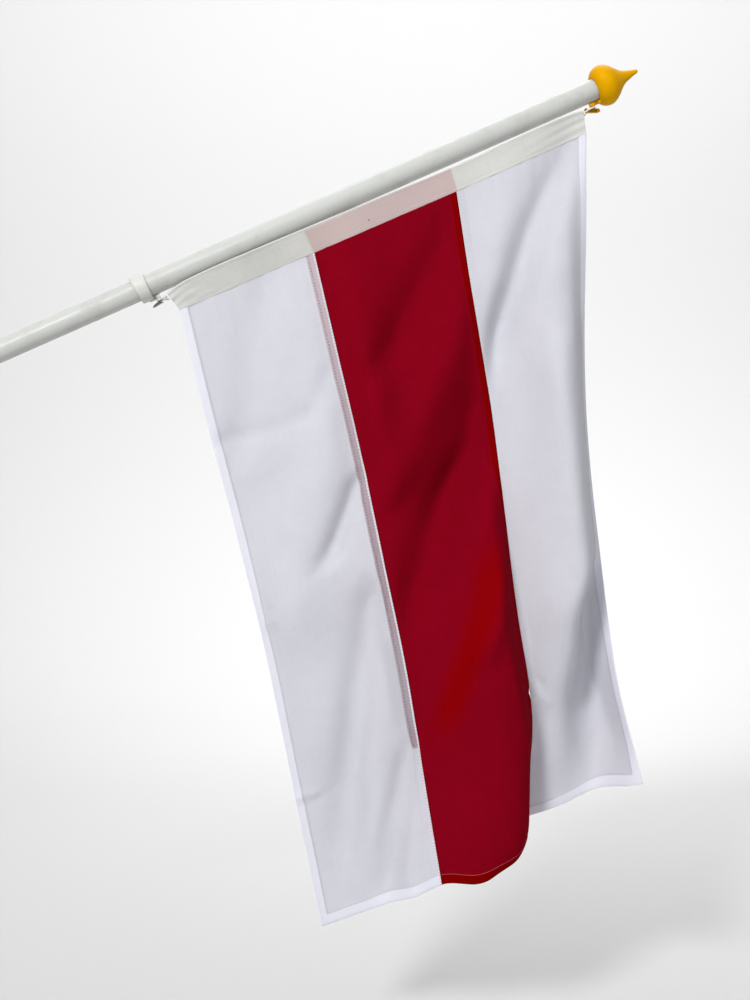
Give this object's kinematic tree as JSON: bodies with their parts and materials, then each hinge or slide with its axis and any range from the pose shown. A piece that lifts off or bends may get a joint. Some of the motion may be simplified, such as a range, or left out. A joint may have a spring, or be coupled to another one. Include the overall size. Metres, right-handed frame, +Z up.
{
  "type": "house-front flag on its pole",
  "caption": "Three-band cloth flag with a folded heading, hung by cord loops from a slanting round pole with an end cap and a ring clip.",
  "frame": {"origin": "centre of the flat butt end of the pole, which goes into a wall socket or holder", "axes": "the pole rises 24.5 degrees above +X in the XZ plane, +Z is up, the cloth hangs towards -Z with its folds along Y, and the viewer's side is -Y"},
  "size_m": [0.9773, 0.1263, 1.0126],
  "materials": {
    "pole_paint": "satin white paint on wood",
    "cap_plastic": "glossy yellow moulding",
    "ring_plastic": "white moulding",
    "heading_tape": "folded off-white tape",
    "white_cloth": "thin plain-weave cloth",
    "red_cloth": "thin plain-weave cloth",
    "cream_cord": "twisted cord",
    "white_cord": "twisted cord"
  },
  "bodies": {
    "root": {"pole": "pole_paint", "finial": "cap_plastic", "collar": "ring_plastic", "heading": "heading_tape", "lower_white_panel": "white_cloth", "red_panel": "red_cloth", "upper_white_panel": "white_cloth", "outer_loop": "cream_cord", "inner_loop": "white_cord"}
  },
  "joints": []
}
